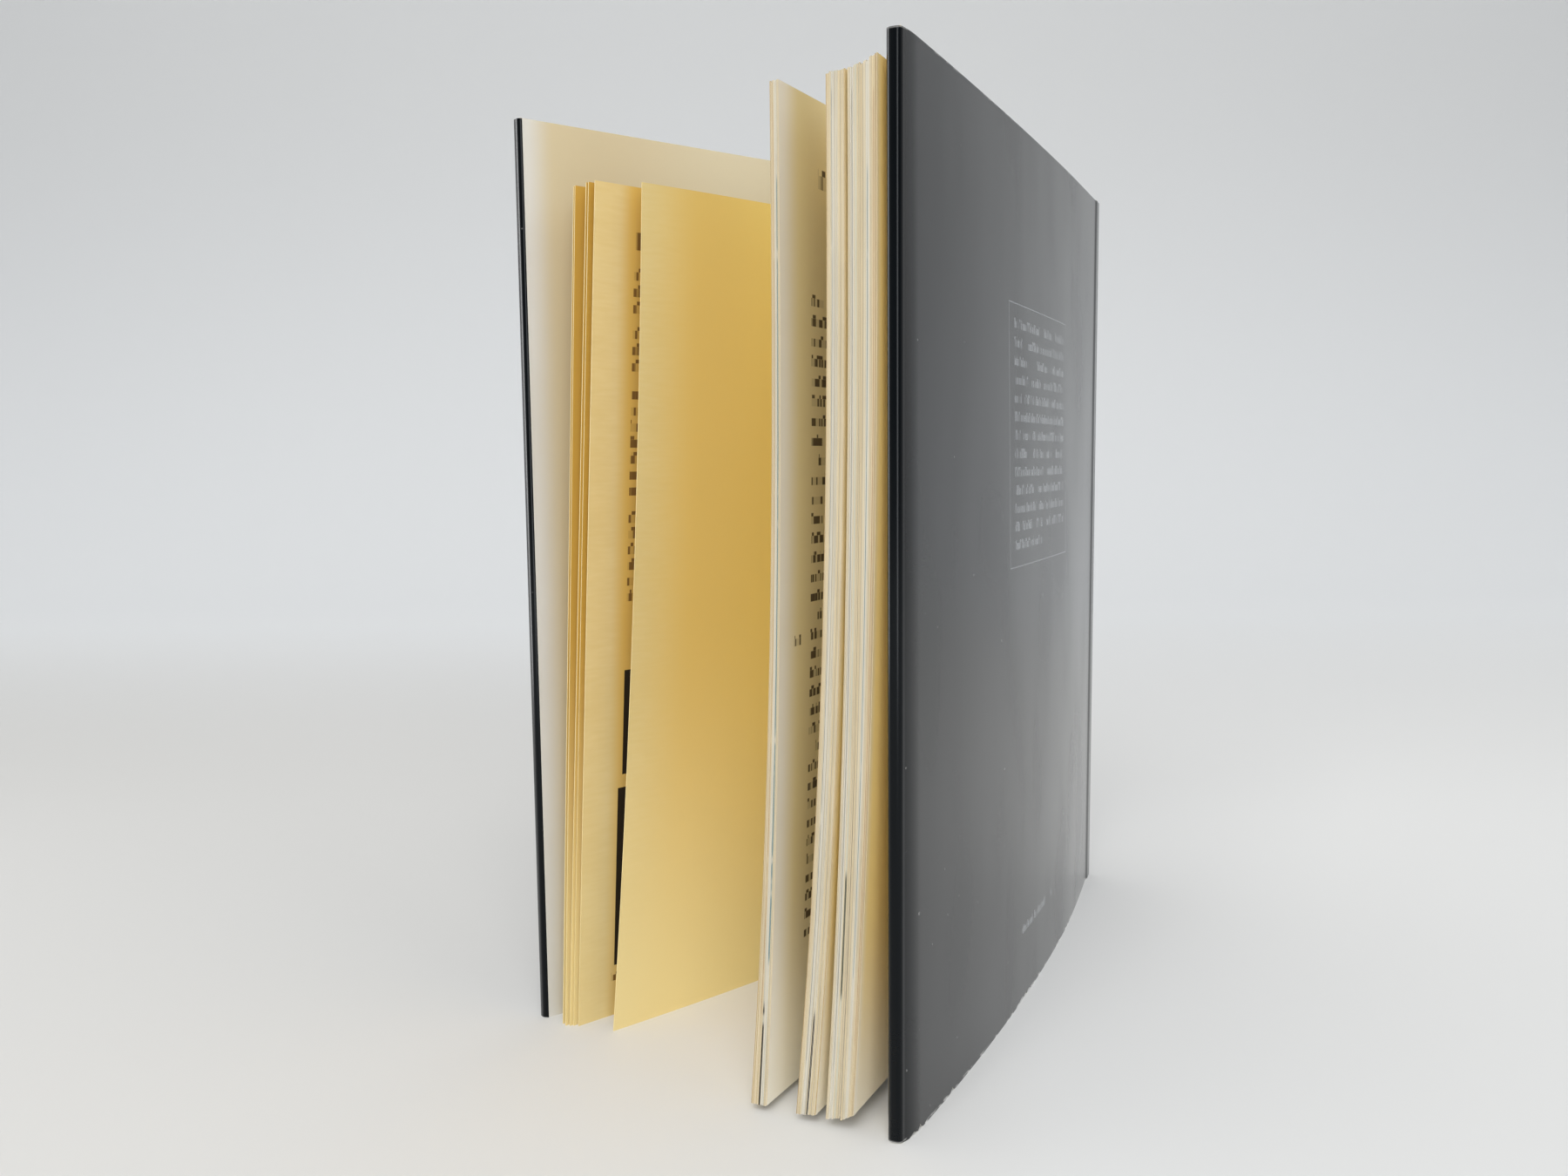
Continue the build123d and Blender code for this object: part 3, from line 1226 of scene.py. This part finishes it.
    def _sheet(
        self,
        name: str,
        cover: CoverFrame,
        bows: tuple[float, float],
        finishes: tuple[bpy.types.Material, bpy.types.Material, bpy.types.Material],
    ) -> bpy.types.Object:
        """Make one sheet.

        Args:
            name: Name of the sheet.
            cover: The cover that it wraps.
            bows: How far the panel stands out, at the tail and at the head.
            finishes: Black face, flap and inside.

        Returns:
            The sheet.
        """
        backwards = cover.side < 0

        def line(height: float) -> list[Plan]:
            """Sheet in plan at one height."""
            stations = self._stations(bows, height / self.height)
            points = [cover.bent(along, out, self.joint_reach) for along, out, _ in stations]
            return points[::-1] if backwards else points

        stations = self._stations(bows, 0.5)
        corner = self.panel_out - self.corner_radius
        spine_line = self.corner_start - self.corner_radius
        across = [corner - out - along if along <= spine_line else -along for along, out, _ in stations]
        kinds = [kind for _, _, kind in stations][:-1]
        if backwards:
            across, kinds = [-value for value in across[::-1]], kinds[::-1]
        heights = [self.height * index / (self.rows - 1) for index in range(self.rows)]
        black, flap, inside = finishes
        foot = None if backwards else self._chipped
        materials = (black, flap, inside, inside, inside, inside)
        return Sheet(name, line, heights, across, self.wall, materials, kinds, foot=foot).build()

    def _chipped(self, across: float) -> float:
        """Height that is missing from the tail at a place across the sheet."""
        along = -across
        return sum(
            nick.depth * max(0.0, 1 - abs(along - nick.along) / nick.width) for nick in self.nicks
        )


@dataclass(frozen=True)
class BookletLeaf:
    """Fore-edge of a booklet leaf: distances along the cover and out from its lining, at tail and head.

    The leaf stands out by its bow halfway to the fold, and its fore-edge stands back by its hollow
    at mid-height.
    """

    reach: tuple[float, float]
    stand: tuple[float, float]
    bow: float = 0.0
    hollow: float = 0.0


@dataclass
class Booklet:
    """Folded booklet of laid paper, tucked inside the front cover, its last leaf standing open."""

    height: float = 210.0
    lining: float = 2.55
    fold_along: tuple[float, float] = (36.5, 31.0)
    fold_stand: tuple[float, float] = (0.4, 3.6)
    bundle: float = 3.0
    wall: float = 0.28
    stations: int = 22
    rows: int = 13

    def build(self) -> list[bpy.types.Object]:
        """Make the folded sheets and let them stand for the solid booklet.

        Returns:
            The booklet.
        """
        # Golden is a darker copy of the laid paper for the faces inside the bundle: painted shade in the gaps
        # between its leaves.
        painted_shade_gold, pale = tone(196, 154, 66), tone(222, 204, 152)
        plain = Laid(painted_shade_gold, tone(192, 149, 60), painted_shading=painted_shade_gold, far=painted_shade_gold).material("booklet_paper")
        edge = Laid(pale, tone(218, 198, 144), painted_shading=pale, far=pale).material("booklet_edge")
        heading = Greeking(-167.6, -120.0, 197.3, 9.0, 1, 4.2, 16.0, 5.0, -120.0)
        paragraphs = tuple(
            Greeking(-167.9, -70.0, top, 3.95, count, 2.0, 9.0, 14.0 + count, -110.0)
            for top, count in ((189.0, 3), (175.0, 3), (160.3, 7), (129.8, 6))
        )
        pictures = (Field(-168.1, -104.0, 64.4, 91.5), Field(-169.3, -104.0, 13.6, 61.0))
        caption = Greeking(-170.1, -120.0, 10.2, 4.0, 1, 1.6, 9.0, 3.0, -120.0)
        # The printed leaf turns darker golden just inside its fore-edge: painted shade cast by the leaf in
        # front of it; its tail pales less, which is painted light.
        shadowed = Laid(
            tone(217, 196, 141), tone(212, 189, 131),
            painted_shading=tone(212, 174, 88), painted_shading_start=-173.0, painted_shading_width=5.0,
            painted_foot_light_share=0.35,
        )
        lettered = replace(shadowed, prints=(heading, *paragraphs, caption), plates=pictures)
        printed = lettered.material("booklet_printed")
        # The open leaf keeps the laid paper's painted shade, painted light further in and painted pale tail.
        opened = Laid(painted_shading_width=20.0).material("booklet_open")
        sheets = (
            (
                BookletLeaf((176.3, 167.1), (17.9, 25.1), 3.0, 1.6),
                BookletLeaf((184.4, 178.3), (5.8, 11.8)),
                0.0,
            ),
            (
                BookletLeaf((181.9, 177.2), (9.8, 20.6), 0.5),
                BookletLeaf((184.4, 178.4), (7.2, 12.7)),
                0.42,
            ),
            (
                BookletLeaf((182.8, 177.6), (8.8, 18.2), 0.3),
                BookletLeaf((183.6, 177.8), (8.0, 17.1), 0.2),
                0.84,
            ),
        )
        pieces = []
        for index, (inner, outer, nest) in enumerate(sheets):
            face = (opened, printed, plain)[index]
            pieces.append(self._folded(inner, outer, nest, (face, plain, edge)))
        whole = joined(pieces, "booklet_leaves")
        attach(whole, Body.FRONT.value)
        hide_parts("booklet")
        LOG.info("%s: %d polygons", whole.name, len(whole.data.polygons))
        return [whole]

    def _folded(
        self,
        inner: BookletLeaf,
        outer: BookletLeaf,
        nest: float,
        finishes: tuple[bpy.types.Material, bpy.types.Material, bpy.types.Material],
    ) -> bpy.types.Object:
        """Make one folded sheet: the leaf nearer the pages, the fold and the leaf nearer the cover.

        Args:
            inner: Leaf nearer the pages.
            outer: Leaf nearer the cover.
            nest: How far the sheet lies inside the outermost one at the fold.
            finishes: Face of the inner leaf, face elsewhere, and cut edge.

        Returns:
            The sheet.
        """
        turns = 7
        radius = self.bundle / 2 - nest

        def leaf(shape: BookletLeaf, side: int, rise: float) -> list[Plan]:
            """Points of one leaf, from the fold to its fore-edge.

            Args:
                shape: The leaf's fore-edge.
                side: 1 for the leaf nearer the pages, -1 for the one nearer the cover.
                rise: Share of the height.

            Returns:
                Distances along the cover and out from its face.
            """
            start_along = between(*self.fold_along, rise)
            middle = self.lining + between(*self.fold_stand, rise) + self.bundle / 2
            start_stand = middle + side * radius
            end_along = between(*shape.reach, rise) - shape.hollow * 4 * rise * (1 - rise)
            end_stand = self.lining + between(*shape.stand, rise)
            points = []
            for index in range(1, self.stations + 1):
                share = index / self.stations
                stand = between(start_stand, end_stand, share) + shape.bow * 4 * share * (1 - share)
                points.append((between(start_along, end_along, share), stand))
            return points

        def line(height: float) -> list[Plan]:
            """Sheet in plan at one height."""
            rise = height / self.height
            start_along = between(*self.fold_along, rise)
            middle = self.lining + between(*self.fold_stand, rise) + self.bundle / 2
            bend = []
            for index in range(turns + 1):
                angle = math.pi * index / turns
                bend.append((start_along - radius * math.sin(angle), middle + radius * math.cos(angle)))
            points = leaf(inner, 1, rise)[::-1] + bend + leaf(outer, -1, rise)
            return [FRONT.plan(along, -stand) for along, stand in points]

        measure = [-along for along, _ in leaf(inner, 1, 0.5)[::-1]]
        measure += [-self.fold_along[0]] * (turns + 1)
        measure += [along for along, _ in leaf(outer, -1, 0.5)]
        kinds = [0] * self.stations + [1] * (turns + self.stations)
        heights = [self.height * index / (self.rows - 1) for index in range(self.rows)]
        face, plain, edge = finishes
        materials = (face, plain, plain, plain, edge, edge)
        return Sheet("folded", line, heights, measure, self.wall, materials, kinds).build()


@dataclass
class Casework:
    """Solids that stay as they are, with their finishes."""

    covering: Covering = Covering()
    pastedown: Paper = Paper(tone(240, 224, 184), tone(236, 217, 172))
    lining: Paper = Paper(tone(222, 214, 196), tone(210, 200, 180))
    band: Band = Band()

    def dress(self, nodes: dict[str, bpy.types.Object]) -> None:
        """Give each solid that shows its material.

        Args:
            nodes: The solids by name.
        """
        finishes = {
            self.covering.material("case_covering"): ("front_board", "back_board", "spine_strip"),
            self.pastedown.material("pastedown"): ("front_pastedown", "back_pastedown"),
            self.lining.material("spine_lining"): ("spine_lining",),
            self.band.material("end_band"): ("head_band", "tail_band"),
        }
        for material, names in finishes.items():
            for name in names:
                nodes[name].data.materials.clear()
                nodes[name].data.materials.append(material)
                LOG.info("%s: %s", name, material.name)


@dataclass(frozen=True)
class Softbox:
    """Large soft lamp, in metres and watts."""

    name: str
    place: tuple[float, float, float]
    size: tuple[float, float]
    power: float
    mirrored: bool = True
    lighting: bool = True
    aim: tuple[float, float, float] = (0.0, -0.1, 0.1)


@dataclass
class Studio:
    """Pale floor that sweeps up behind the book, soft light from above, and the camera."""

    camera_place: tuple[float, float, float] = (96.8, -428.0, 143.7)
    heading: float = 25.2
    pitch: float = 5.76
    roll: float = -0.56
    focal_pixels: float = 1440.0
    picture_width: float = 1800.0
    sensor: float = 36.0
    floor_near: Colour = tone(219, 219, 217)
    floor_far: Colour = tone(230, 230, 228)
    near: float = 2200.0
    far: float = 1500.0
    wall: float = 1800.0
    half_width: float = 2600.0
    sweep: float = 700.0
    world_level: float = 0.60
    dim_level: float = 0.12
    seen_level: float = 0.68
    backdrop_lift: float = 0.22
    # Glow of the near floor to the right of the book, for the camera and reflections: painted light over the
    # book's shadow.
    painted_floor_light: float = 0.085
    backdrop_tint: Colour = (0.90, 0.98, 1.09, 1.0)
    softboxes: tuple[Softbox, ...] = (
        Softbox("panel_left", (-0.57, -0.33, 0.33), (0.24, 0.66), 3.0, True, False, (0.01, -0.19, 0.33)),
        Softbox("panel_right", (0.25, -0.74, 0.33), (0.20, 0.66), 2.6, True, False, (0.01, -0.19, 0.33)),
        Softbox("softbox_right", (1.0, -0.2, 0.8), (1.0, 0.8), 1.5, False),
        Softbox("softbox_front", (0.36, -1.3, 0.38), (1.4, 0.7), 9.6, False),
        Softbox("softbox_high", (0.2, -1.2, 1.3), (1.2, 0.9), 13.5, False),
    )

    def build(self) -> None:
        """Set up the floor, the light and the camera."""
        bpy.context.scene.view_settings.view_transform = "Standard"
        self._floor()
        self._light()
        self._camera()

    def _floor(self) -> None:
        """Floor and backdrop in one sweep."""
        bpy.ops.object.select_all(action="DESELECT")
        count = 16
        profile = [(-self.near, 0.0), (self.far - self.sweep, 0.0)]
        for index in range(1, count):
            angle = math.pi / 2 * index / count
            profile.append(
                (self.far - self.sweep + self.sweep * math.sin(angle), self.sweep * (1 - math.cos(angle)))
            )
        profile += [(self.far, self.sweep), (self.far, self.wall)]
        bpy.ops.mesh.primitive_grid_add(x_subdivisions=2, y_subdivisions=len(profile) - 1, size=1)
        floor = bpy.context.object
        floor.name = "floor"
        turn = Matrix.Rotation(math.radians(self.heading), 3, "Z")
        for vertex in floor.data.vertices:
            y, z = profile[round((vertex.co.y + 0.5) * (len(profile) - 1))]
            vertex.co = turn @ (Vector((vertex.co.x * 2 * self.half_width, y, z)) * MM)
        bpy.ops.object.shade_smooth()
        floor.data.materials.append(self._floor_finish())

    def _floor_finish(self) -> bpy.types.Material:
        """Pale paint, with a backdrop that looks paler to the camera and in reflections than it is lit, and a
        patch of near floor to the right of the book that glows for them: painted light over the book's
        shadow.

        Returns:
            The material.
        """
        graph = Graph("floor")
        parts = graph.node("ShaderNodeSeparateXYZ")
        graph.feed(parts.inputs[0], graph.place())
        path = graph.node("ShaderNodeLightPath")
        seen = graph.maths("MAXIMUM", path.outputs["Is Camera Ray"], path.outputs["Is Glossy Ray"])
        turn = math.radians(self.heading)
        sideways = graph.maths("MULTIPLY", parts.outputs["X"], -math.sin(turn))
        beyond = graph.maths("MULTIPLY_ADD", parts.outputs["Y"], math.cos(turn), sideways)
        graph.surface(graph.mix(graph.step(beyond, -0.3, 0.1), self.floor_near, self.floor_far), 0.9, 0.1)
        lift = graph.maths("MULTIPLY", graph.step(beyond, 0.1, 0.8), self.backdrop_lift)
        raised = graph.step(parts.outputs["Z"], 0.1, 0.8)
        lift = graph.maths("MULTIPLY_ADD", raised, -0.3 * self.backdrop_lift, lift)
        # Painted light: the near floor to the right of the book glows, over the book's shadow.
        forward = graph.maths("MULTIPLY", parts.outputs["Y"], math.sin(turn))
        right = graph.maths("MULTIPLY_ADD", parts.outputs["X"], math.cos(turn), forward)
        painted_light_patch = graph.maths("MULTIPLY", graph.step(right, -0.09, -0.03), graph.step(beyond, 0.7, 0.1))
        lift = graph.maths("MULTIPLY_ADD", painted_light_patch, self.painted_floor_light, lift)
        graph.shader.inputs["Emission Color"].default_value = self.backdrop_tint
        graph.feed(graph.shader.inputs["Emission Strength"], graph.maths("MULTIPLY", seen, lift))
        return graph.material

    def _light(self) -> None:
        """Even light all round, with large softboxes on both sides and behind the camera."""
        self._surroundings()
        for box in self.softboxes:
            lamp = bpy.data.lights.new(box.name, "AREA")
            lamp.shape = "RECTANGLE"
            lamp.size, lamp.size_y = box.size
            lamp.energy = box.power
            holder = bpy.data.objects.new(box.name, lamp)
            bpy.context.scene.collection.objects.link(holder)
            holder.location = box.place
            holder.visible_glossy = box.mirrored
            holder.visible_diffuse = box.lighting
            holder.visible_camera = False
            aim = Vector(box.aim) - holder.location
            holder.rotation_euler = aim.to_track_quat("-Z", "Y").to_euler()

    def _surroundings(self) -> None:
        """Light all round, dimmer behind the camera but pale wherever it is looked at."""
        world = bpy.data.worlds.new("studio")
        bpy.context.scene.world = world
        world.use_nodes = True
        tree = world.node_tree
        background = tree.nodes["Background"]
        background.inputs["Color"].default_value = (1.0, 1.0, 1.0, 1.0)
        sight = tree.nodes.new("ShaderNodeTexCoord")
        facing = tree.nodes.new("ShaderNodeVectorMath")
        facing.operation = "DOT_PRODUCT"
        turn = math.radians(self.heading)
        facing.inputs[1].default_value = (math.sin(turn), -math.cos(turn), 0.0)
        level = tree.nodes.new("ShaderNodeMapRange")
        level.interpolation_type = "SMOOTHSTEP"
        for target, value in zip(level.inputs[1:5], (0.25, 0.8, self.world_level, self.dim_level)):
            target.default_value = value
        tree.links.new(sight.outputs["Generated"], facing.inputs[0])
        tree.links.new(facing.outputs["Value"], level.inputs[0])
        path = tree.nodes.new("ShaderNodeLightPath")
        seen = tree.nodes.new("ShaderNodeMix")
        seen.inputs[3].default_value = self.seen_level
        tree.links.new(path.outputs["Is Camera Ray"], seen.inputs[0])
        tree.links.new(level.outputs[0], seen.inputs[2])
        tree.links.new(seen.outputs[0], background.inputs["Strength"])

    def _camera(self) -> None:
        """Camera at the photograph's place."""
        lens = bpy.data.cameras.new("camera")
        lens.sensor_width = self.sensor
        lens.lens = self.focal_pixels / self.picture_width * self.sensor
        lens.clip_start = 0.01
        camera = bpy.data.objects.new("camera", lens)
        bpy.context.scene.collection.objects.link(camera)
        camera.matrix_world = (
            Matrix.Translation(Vector(self.camera_place) * MM)
            @ Matrix.Rotation(math.radians(self.heading), 4, "Z")
            @ Matrix.Rotation(math.radians(90 - self.pitch), 4, "X")
            @ Matrix.Rotation(math.radians(self.roll), 4, "Z")
        )
        bpy.context.scene.camera = camera


def main() -> None:
    """Build the book's pieces in order, and write how large they are."""
    logging.basicConfig(level=logging.INFO, format="%(name)s %(message)s")
    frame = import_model()
    Studio().build()
    TextBlock().build()
    Jacket().build()
    Booklet().build()
    Casework().dress(frame["nodes"])


if __name__ == "__main__":
    main()
